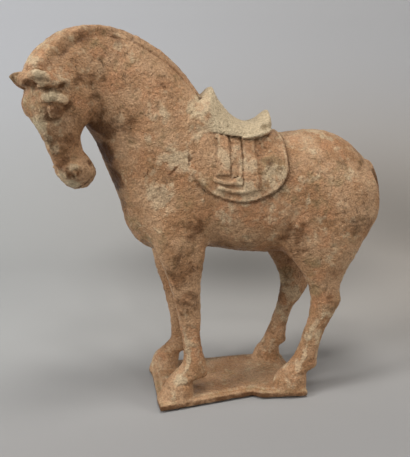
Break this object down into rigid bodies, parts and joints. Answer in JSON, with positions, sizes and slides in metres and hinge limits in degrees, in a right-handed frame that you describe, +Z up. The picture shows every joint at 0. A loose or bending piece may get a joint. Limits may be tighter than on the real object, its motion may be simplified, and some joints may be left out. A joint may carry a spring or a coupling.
{
  "type": "terracotta horse figure",
  "caption": "Standing saddled horse of fired clay with an arched neck, its head lowered and turned to its left, on a thin flat slab. A display figure.",
  "frame": {"origin": "middle of the slab's flat underside", "axes": "+Z up, -X the way the horse's body faces, -Y its left side, the side to which the head is turned"},
  "size_m": [0.3084, 0.1039, 0.3075],
  "materials": {
    "terracotta": "unglazed fired clay, matt, with worn pale slip and earth stains"
  },
  "bodies": {
    "root": {"horse_figure": "terracotta"}
  },
  "joints": []
}
